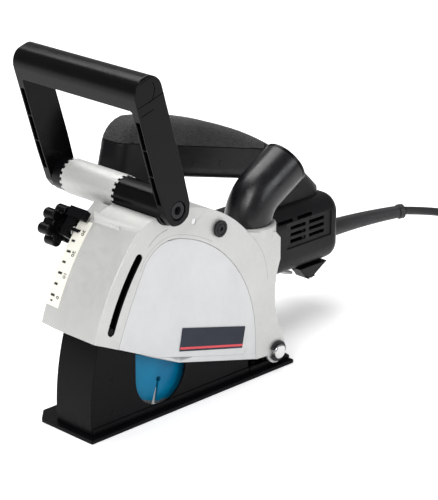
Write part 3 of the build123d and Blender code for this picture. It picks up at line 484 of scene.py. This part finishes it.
# ------------------------------------------------------------------ cord
# from the cord guard down to the floor, then to the coil
ROUTE = [(257, 47, 66.5), (287, 38.5, 61), (316, 34, 51), (342, 31, 37.5), (364, 27, 23), (383, 18, 11),
         (398, 4, 5.2), (407, -14, 4), (411, -34, 4)]
CORD_D = 8.0
COIL_X, COIL_Y = 359.0, -36.0
COIL_RINGS = (52, 44, 36, 36, 44, 52, 52, 44, 36, 36, 44, 52)   # mean radius of each turn, in the order wound
PER_TURN = 16
PER_LAYER = 3
LAYER_0, LAYER_RISE = 4.05, 8.05                              # height of the lowest layer and between layers
CROSS_FROM = 0.8                                              # part of a turn where it crosses to the next
# the point from which the last turn rises to the plug, and how many layers it rises per point
LIFT_FROM, LIFT = (len(COIL_RINGS) - 1) * PER_TURN + 9, 0.19


def coil_points():
    """Control points of the wound turns: each turn keeps its ring, then crosses in its last fifth."""
    points = []
    swell = 1 / cos(pi / PER_TURN)
    turns = len(COIL_RINGS)
    for i in range(1, turns * PER_TURN + 1):
        turn, part = divmod(i / PER_TURN, 1.0)
        k = min(int(turn), turns - 1)
        nxt = min(k + 1, turns - 1)
        move = min(1.0, max(0.0, (part - CROSS_FROM) / (1 - CROSS_FROM))) if turn < turns else 1.0
        move = move * move * (3 - 2 * move)
        r = COIL_RINGS[k] + (COIL_RINGS[nxt] - COIL_RINGS[k]) * move
        level = k // PER_LAYER + (nxt // PER_LAYER - k // PER_LAYER) * move
        level += max(0, i - LIFT_FROM) * LIFT
        t = -2 * pi * i / PER_TURN
        points.append((COIL_X + r * swell * cos(t), COIL_Y + r * swell * sin(t),
                       LAYER_0 + level * LAYER_RISE))
    return points


LEAD_IN = [(400, -62, 38.0), (386, -78, 38.5), (372, -80, 38.5)]   # from the coil into the plug


def make_cord():
    """The cord as one curve, and the length of its centre line in metres."""
    points = ROUTE + coil_points() + LEAD_IN
    curve = bpy.data.curves.new("cord", "CURVE")
    curve.dimensions = "3D"
    line = curve.splines.new("NURBS")
    line.points.add(len(points) - 1)
    for p, (x, y, z) in zip(line.points, points):
        p.co = (x * MM, y * MM, z * MM, 1)
        p.radius = CORD_D / 2 * MM
    line.order_u = 3
    line.use_endpoint_u = True
    line.resolution_u = 8
    curve.bevel_depth = 1.0                                   # the points' radius sets the thickness
    curve.bevel_resolution = 6
    curve.use_fill_caps = True
    cord = bpy.data.objects.new("mains_cord", curve)
    SCENE.collection.objects.link(cord)
    finish_piece(cord, "head", "cord_rubber", nodes=["cord_tube", "cord_coil"])
    curve.bevel_depth = 0                                     # bare line, only to measure it
    graph = bpy.context.evaluated_depsgraph_get()
    line_mesh = bpy.data.meshes.new_from_object(cord.evaluated_get(graph))
    walk = [v.co.copy() for v in line_mesh.vertices]
    length = sum((b - a).length for a, b in zip(walk, walk[1:]))
    curve.bevel_depth = 1.0
    return cord, length


CORD, CORD_LENGTH = make_cord()
PLUG = skin("mains_plug", 0.8, 3)
skin("cord_guard", 0.25)


# ------------------------------------------------------------------ fasteners
def socket_screw(name, centre, axis, r, height, body, slot, hexagon):
    """Round head with a bevelled rim and a hexagon recess. The axis points out of the head."""
    profile = [(0.01, -0.5), (r, -0.5), (r, height - 0.5), (r - 0.5, height), (0.01, height)]
    head = lathe(name, profile, centre, axis, 40)
    turn = Vector((0, 0, 1)).rotation_difference(Vector(axis)).to_matrix()

    def place(a, b, d):
        return (turn @ Vector((a, b, d)) + Vector(centre)) * MM

    recess = prism("recess", circle(0, 0, hexagon, 6), place, height * 0.35, height + 1)
    combine(head, [recess])
    return finish_piece(head, body, slot)


# ------------------------------------------------------------------ front grip
POCKET_WALL = 1.7


def make_front_grip():
    near, far, top, inner = BAIL_NEAR, BAIL_FAR, BAIL_REACH, BAIL_REACH - BAR_T
    outline = rounded([(near, -16), (near, top), (far, top), (far, -16), (far - ARM_T, -16),
                       (far - ARM_T, inner), (near + ARM_T, inner), (near + ARM_T, -16)],
                      [0, 3.5, 3.5, 0, 0, 2, 2, 0], 6)
    loop = prism("front_grip_skin", outline, bail_front, -16, 16)
    side = rounded([(-14, 0), (-15, 30), (-15, top), (15, top), (15, 30), (14, 0), (10, -10), (0, -14),
                    (-10, -10)], [8, 40, 14.6, 14.6, 40, 8, 8, 14, 8], 10)
    combine(loop, [prism("side", side, bail_place, near - 1, far + 1)], "INTERSECT")
    cutters = []
    for y0 in (near, far - ARM_T):                            # three pockets in the front of each arm
        left, right = y0 + POCKET_WALL, y0 + ARM_T - POCKET_WALL
        for v0, v1 in ((12.5, 39), (40.2, 63.3), (64.5, 90)):
            pocket = rounded([(left, v0), (left, v1), (right, v1), (right, v0)], 0.8, 3)
            cutters.append(prism("pocket", pocket, bail_front, -17, -8))
    for y0, y1 in ((near - 1, near + 6), (far - 6, far + 1)):
        cutters.append(prism("bore", circle(0, 0, 8.2), bail_place, y0, y1))
    cutters.append(prism("rod", circle(0, 0, 5.0), bail_place, near - 2, far + 2))
    combine(loop, cutters)
    soften(loop, 0.55, 3)
    grooves = []
    for y0, y1 in ((near - 1, near + 0.5), (far - 0.5, far + 1)):      # shallow lines on the outer faces
        grooves.append(prism("groove", strip([(-14.2, 103), (14.2, 103)], 0.35), bail_place, y0, y1))
        grooves.append(prism("groove", strip([(-13, 95), (0.5, 95)], 0.45), bail_place, y0, y1))
        curve = [(-4 + 11 * cos(radians(t)), 113 + 11 * sin(radians(t))) for t in range(-80, 21, 10)]
        grooves.append(prism("groove", strip(curve, 0.35), bail_place, y0, y1))
    combine(loop, grooves)
    return finish_piece(loop, "front_grip", "gloss_black", nodes=["front_grip"])


def toothed_ring(name, y0, y1, r, r_in, teeth, depth, body, slot, nodes=()):
    """Ring along Y about the grip axis with square teeth on its y1 end."""
    sign = 1 if y1 > y0 else -1
    ring = lathe(name, [(r_in, y0), (r - 0.4, y0), (r, y0 + 0.4 * sign), (r, y1 - 0.4 * sign), (r - 0.4, y1),
                        (r_in, y1)], (BAIL_X, 0, BAIL_Z), (0, 1, 0), 96)
    cutters = []
    for k in range(teeth):
        t = 2 * pi * k / teeth
        half = pi * r / teeth * 0.5
        c, s = cos(t), sin(t)
        wedge = [(d * c - w * s, d * s + w * c)
                 for d, w in ((r_in * 0.7, half), (r * 1.2, half), (r * 1.2, -half), (r_in * 0.7, -half))]
        cutters.append(prism("gap", wedge, bail_place, min(y1 - depth * sign, y1 + sign),
                             max(y1 - depth * sign, y1 + sign)))
    if teeth:
        combine(ring, cutters)
        soften(ring, 0.25, 2)
    return finish_piece(ring, body, slot, nodes=nodes)


def make_grip_mount():
    for side, y0, y1 in (("near", BAIL_NEAR + ARM_T, 27.7), ("far", BAIL_FAR - ARM_T, 88.3)):
        toothed_ring(f"grip_collar_{side}_skin", y0, y1, 14.4, 5.1, 0, 0, "front_grip", "gloss_black",
                     [f"grip_collar_{side}"])
    for side, y0, y1 in (("near", 28.4, 24.6), ("far", 87.6, 91.4)):
        toothed_ring(f"tube_teeth_{side}", y0, y1, 15.45, 14.75, 18, 2.4, "head", "cast_aluminium")
    for node in ("grip_bolts", "grip_washers"):
        skin(node, 0.3)


# ------------------------------------------------------------------ D handle
HANDLE_NEAR, HANDLE_FAR = 53.0, 87.0
GRIP_ROUND = 11.0


def arc_points(a, b, c, count):
    """Points on the circle through a, b and c, from a to c."""
    ax, ay, bx, by, cx, cy = *a, *b, *c
    d = 2 * (ax * (by - cy) + bx * (cy - ay) + cx * (ay - by))
    aa, bb, cc = ax * ax + ay * ay, bx * bx + by * by, cx * cx + cy * cy
    ux = (aa * (by - cy) + bb * (cy - ay) + cc * (ay - by)) / d
    uy = (aa * (cx - bx) + bb * (ax - cx) + cc * (bx - ax)) / d
    r = hypot(ax - ux, ay - uy)
    t0, t1 = atan2(ay - uy, ax - ux), atan2(cy - uy, cx - ux)
    sweep = (t1 - t0 + pi) % (2 * pi) - pi
    angles = [t0 + sweep * k / count for k in range(count + 1)]
    return [(ux + r * cos(t), uy + r * sin(t)) for t in angles]


def handle_outline():
    """Side outline of the handle: up the front, over the top, down the back and round the opening."""
    foot = 100.0
    points = [(-62, foot), (-72, 113)] + [(-102, 130), (-113, 152), (-113, 185), (-108, 205)]
    points += arc_points((-108, 205), (-100, 222), (-84, 229.5), 6)[1:]
    points += arc_points((-84, 229.5), (-30, 218.5), (13, 203.6), 10)[1:]
    points += arc_points((13, 203.6), (70, 176.5), (143, 118), 14)[1:]
    points += [(143, foot), (64, foot), (62, 116)]
    points += arc_points((61, 120), (60.5, 131), (64, 141), 4)
    points += [(40, 147), (0, 157.2), (-40, 167.4), (-58, 172)]
    points += arc_points((-62, 172.5), (-74, 166), (-79, 150), 6)[1:]
    points += [(-68, 130), (-40, 113), (-36, foot)]
    return points


def make_handle():
    outline = handle_outline()

    def solid(name):
        body = prism(name, outline, flat_place, HANDLE_NEAR, HANDLE_FAR)
        m = body.modifiers.new("edge", "BEVEL")
        m.width, m.segments, m.limit_method, m.angle_limit = GRIP_ROUND * MM, 7, "ANGLE", radians(60)
        m.use_clamp_overlap = False
        return apply_all(body)

    def zone(drop):
        """The space above the line where the soft grip begins."""
        points = [(-96, 212 - drop), (66, 171 - drop), (150, 260), (-140, 260), (-140, 216 - drop)]
        return prism("zone", points, flat_place, 40, 100)

    shell = solid("handle_shell")
    combine(shell, [zone(0.35)])
    trigger_gap = [(-79, 140), (-79, 190), (-36, 180), (-36, 150)]
    slot_cut = prism("slot", trigger_gap, flat_place, MOTOR_Y - 7, MOTOR_Y + 7)
    combine(shell, [slot_cut])
    soften(shell, 0.5, 2, 50)
    finish_piece(shell, "head", "housing_black", nodes=["handle_left", "handle_right"])
    grip = solid("soft_grip_skin")
    combine(grip, [zone(0)], "INTERSECT")
    soften(grip, 0.6, 2, 50)
    finish_piece(grip, "head", "grip_rubber", nodes=["soft_grip"])
    skin("trigger", 1.0, 3)
    skin("shaft_lock", 0.6)


# ------------------------------------------------------------------ motor
GEAR_SCREWS_R = 23


def make_motor():
    near = MOTOR_Y - 32.0
    cuts = []
    for x in (70, 96):                                        # upper vent pair
        outline = rounded([(x, 99), (x + 20, 99), (x + 20, 102), (x, 102)], 1.2, 3)
        cuts.append(prism("vent", outline, flat_place, near - 2, near + 9))
    for x in (-40, -26, -12, 2):                              # cooling slots in the front part, both sides
        for y0 in (near - 1, 2 * MOTOR_Y - near - 3):
            outline = rounded([(x, 64), (x + 4, 64), (x + 4, 92), (x, 92)], 1.8, 4)
            cuts.append(prism("vent", outline, flat_place, y0, y0 + 4))
    skin("motor_housing", 0.5, 2, cuts)
    skin("rear_foot", 0.8)
    skin("foot_bracket", 0.6)
    skin("gear_housing", 0.6)
    for k in range(4):
        t = pi / 4 + k * pi / 2
        centre = (SPINDLE_X + GEAR_SCREWS_R * cos(t), 88, SPINDLE_Z + GEAR_SCREWS_R * sin(t))
        socket_screw(f"gear_screw_{k}", centre, (0, 1, 0), 3.4, 2.2, "head", "bright_steel", 1.7)


# ------------------------------------------------------------------ cover, nameplate and scale
LINE_LIFT = 0.04                                              # drawn lines stand this far off the casting
CORNER_R, CORNER_TOP = 223.5, 37                              # chamfer past this radius, up to this angle
SLOT_EDGE_R = (203.5, 213.5)                                  # radii between which the arc slot's edge lies


def cover_rim():
    """Short line 3.2 mm outside the arch that runs over the casting."""
    arch = arc_points((-187.5, 73.6), (-175, 103), (-156, 140), 10)
    arch += arc_points((-156, 140), (-143, 150.5), (-125, 154), 6)[1:]
    arch += arc_points((-125, 154), (-58, 118), (-27, 45), 20)[1:]
    rim = []
    for before, here, after in zip(arch[8:22], arch[9:23], arch[10:24]):
        side = (Vector(after) - Vector(before)).normalized().orthogonal()
        rim.append(tuple(Vector(here) + side * 3.2))
    return rim


def make_cover():
    casting = copy_node("cover_casting")

    def weigh(p):
        """Full width on the low part of the front corner, a fifth of it on every other edge."""
        on_corner = abs(p.y - COVER_NEAR) < 0.05 and hypot(p.x, p.z - PIVOT_Z) > CORNER_R
        return 1.0 if on_corner and atan2(p.z - PIVOT_Z, -p.x) < radians(CORNER_TOP) else 0.2

    soften_chosen(casting, 1.8, weigh, 2)
    for name, points, half in (
            ("cover_seam", arc_points((-38, 138), (-19.4, 115.7), (-12, 88), 12), 0.1),
            ("cover_score", arc_points((-131.3, 163.9), (-143.1, 160.7), (-152.6, 154.1), 8), 0.2),
            ("cover_rim", cover_rim(), 0.1)):
        line = prism(name, strip(points, half), flat_place, COVER_NEAR - LINE_LIFT, COVER_NEAR + 0.3)
        finish_piece(line, "head", "cast_aluminium", "seam_grey")
    finish_piece(casting, "head", "cast_aluminium", nodes=["cover_casting"])
    casting.data.materials.append(MATERIALS["housing_black"])
    for face in casting.data.polygons:                        # painted shade: the faces across the arc slot's edge are drawn black
        c = face.center / MM
        across = abs(face.normal.y) < 0.9 and c.y < -22 and c.z > 80
        if across and SLOT_EDGE_R[0] < hypot(c.x, c.z - PIVOT_Z) < SLOT_EDGE_R[1]:
            face.material_index = 1
    groove = strip([(-141, 53), (-94, 40), (-42, 26), (-39, 30)], 0.15)
    skin("side_cover", 0.4, late_cuts=[prism("line", groove, flat_place, COVER_NEAR - 1, COVER_NEAR + 0.3)])
    socket_screw("stop_screw", (-101, COVER_NEAR + 1.9, 163), (0, -1, 0), 2.4, 0.9, "head", "bright_steel",
                 1.3)
    slot_shade_outline = [polar(188, d) for d in range(17, 44, 2)] + [polar(212, d) for d in range(43, 16, -2)]
    shade_plate = prism("painted_slot_shade", slot_shade_outline, flat_place, -17.8, -17.0)       # painted shade: a dark sheet behind the arc slot, where only shade falls
    finish_piece(shade_plate, "head", "housing_black")
    bolt_x, bolt_z = -72, 150
    profile = [(0.01, -3), (4.8, -3), (4.8, 0), (7.4, 0), (7.4, 1.2), (7.0, 1.6), (5.3, 1.6), (5.0, 1.0),
               (4.2, 1.0), (3.9, 1.6), (0.01, 1.6)]
    bolt = lathe("cover_bolt_head", profile, (bolt_x, COVER_NEAR - 1.6, bolt_z), (0, -1, 0), 48)
    socket = prism("socket", circle(bolt_x, bolt_z, 2.3, 6), flat_place, COVER_NEAR - 4, COVER_NEAR - 2)
    combine(bolt, [socket])
    finish_piece(bolt, "head", NODE_SLOT["cover_bolt"], nodes=["cover_bolt"])
    skin("nameplate", 0.25)
    band = [(-118.2, 55.6), (-43.3, 36.6), (-43.7, 34.7), (-118.6, 53.7)]
    stripe = prism("nameplate_stripe", band, flat_place, COVER_NEAR - 0.86, COVER_NEAR - 0.4)
    finish_piece(stripe, "head", "plate_dark", "red_stripe")


# the casting's sloping front: its radius at SLOPE_Y, and how far that falls over SLOPE_WIDTH
SLOPE_R, SLOPE_Y, SLOPE_FALL, SLOPE_WIDTH = 224, 21.4, 4, 22.6
LABEL_T = 0.4
SCALE_ZERO, SCALE_STEP = 24.3, 2.46                           # degrees about the pivot


def on_label(y, deg, lift):
    """Point this far above the label's face."""
    r = SLOPE_R - SLOPE_FALL * (y - SLOPE_Y) / SLOPE_WIDTH + LABEL_T + lift
    x, z = polar(r, deg)
    return Vector((x, y, z)) * MM


def make_scale():
    """Seven marks, a short one below zero, and four numbers."""
    bm = bmesh.new()
    marks = [(SCALE_ZERO + SCALE_STEP * k, 35.6 if k % 2 else 34.8, 40.2, 0.24) for k in range(7)]
    marks.append((SCALE_ZERO - 1.2, 35.8, 38.6, 0.16))
    for deg, y0, y1, half in marks:
        corners = [on_label(y, d, h) for h in (-0.1, 0.3) for y, d in
                   ((y0, deg - half), (y1, deg - half), (y1, deg + half), (y0, deg + half))]
        v = [bm.verts.new(c) for c in corners]
        for face in ((0, 1, 2, 3), (7, 6, 5, 4), (0, 4, 5, 1), (1, 5, 6, 2), (2, 6, 7, 3), (3, 7, 4, 0)):
            bm.faces.new([v[i] for i in face])
    ticks = make_object(bm, "scale_ticks")
    finish_piece(ticks, "head", "scale_label", "print_black")
    for k, text in enumerate(("0", "10", "20", "30")):
        deg = SCALE_ZERO + SCALE_STEP * 2 * k
        font = bpy.data.curves.new("number", "FONT")
        font.body, font.size, font.extrude = text, 5.4 * MM, 0.06 * MM
        font.align_x, font.align_y = "CENTER", "CENTER"
        made = bpy.data.objects.new(f"scale_number_{text}", font)
        SCENE.collection.objects.link(made)
        graph = bpy.context.evaluated_depsgraph_get()
        mesh = bpy.data.meshes.new_from_object(made.evaluated_get(graph))
        bpy.data.objects.remove(made)
        made = bpy.data.objects.new(f"scale_number_{text}", mesh)
        SCENE.collection.objects.link(made)
        centre = on_label(30.2, deg - 0.2, 0.25)
        along = (on_label(30.2, deg - 1, 0) - on_label(30.2, deg + 1, 0)).normalized()
        up = (on_label(26, deg, 0) - on_label(34, deg, 0)).normalized()
        out = along.cross(up).normalized()
        m = Matrix((along, up, out)).transposed().to_4x4()
        m.translation = centre
        mesh.transform(m)
        finish_piece(made, "head", "scale_label", "print_black")


# ------------------------------------------------------------------ base and the rest
def make_base():
    for node, width in (("sole_plate", 0.5), ("blade_guard", 0.4), ("pivot_bracket", 0.5), ("pivot_pin", 0.3),
                        ("pivot_clips", 0.25), ("depth_stop", 0.7)):
        skin(node, width)


NOZZLE_Y = -2.5
NOZZLE_RUN = (0.867111, 0.0, 0.498128)                        # where the outlet points
RIM_DEPTH = 3.2


def make_elbow():
    skin("dust_nozzle", 0.5, material="elbow_black")
    mouth = (34 - NOZZLE_RUN[0] * RIM_DEPTH, NOZZLE_Y, 179 - NOZZLE_RUN[2] * RIM_DEPTH)
    rim = [(20.6, 0), (21.25, 0.3), (21.4, 1.6), (21.25, 2.9), (20.6, RIM_DEPTH)]
    ring = lathe("nozzle_rim", rim, mouth, NOZZLE_RUN, 72)
    finish_piece(ring, "head", "gloss_black")
    collar = lathe("nozzle_collar", [(21.05, -8), (24.6, -8), (24.6, 1.2), (23.4, 2.6), (21.05, 2.6)],
                   (-13, NOZZLE_Y, 133), (0, 0, 1), 72)
    finish_piece(collar, "head", "cast_aluminium")


make_front_grip()
make_grip_mount()
make_handle()
make_motor()
make_cover()
make_scale()
make_base()
make_elbow()


# ------------------------------------------------------------------ floor and light
FLOOR = 14                                                    # metres from the middle to an edge
FLOOR_GLOW, WORLD_GLOW = 0.3, 0.3
LIGHTS = (("key", (-1.9, -0.6, 1.7), 1.3, 42, (1, 1, 1)),      # name, place, size in metres, watts, colour
          ("fill", (0.5, -2.2, 1.1), 1.0, 14, (0.94, 0.97, 1)),
          ("top", (0.2, 0.8, 2.0), 1.6, 42, (1, 1, 1)))
LIGHT_AIM = (-0.05, 0.0, 0.12)


def make_stage():
    """White floor, even surroundings and three lamps."""
    floor = prism("floor", [(-FLOOR, -FLOOR), (FLOOR, -FLOOR), (FLOOR, FLOOR), (-FLOOR, FLOOR)],
                  lambda a, b, d: Vector((a, b, d)), -0.05, -0.0002)
    k = Maker("floor")
    k.colour(k.mix(k.ramp(k.noise(3, 2), 0.3, 0.7, 0.0, 1.0), (0.90, 0.90, 0.905), (0.92, 0.92, 0.922)))
    k.rough(0.85)
    k.plain(Emission_Color=(1, 1, 1, 1), Emission_Strength=FLOOR_GLOW)
    floor.data.materials.append(k.m)
    world = bpy.data.worlds.new("studio")
    world.use_nodes = True
    background = world.node_tree.nodes["Background"]
    background.inputs["Color"].default_value = (1, 1, 1, 1)
    background.inputs["Strength"].default_value = WORLD_GLOW
    SCENE.world = world
    for name, place, size, power, colour in LIGHTS:
        light = bpy.data.lights.new(name, "AREA")
        light.size, light.energy, light.color = size, power, colour
        lamp = bpy.data.objects.new(name, light)
        SCENE.collection.objects.link(lamp)
        lamp.location = place
        lamp.rotation_euler = (Vector(LIGHT_AIM) - Vector(place)).to_track_quat("-Z", "Y").to_euler()


make_stage()
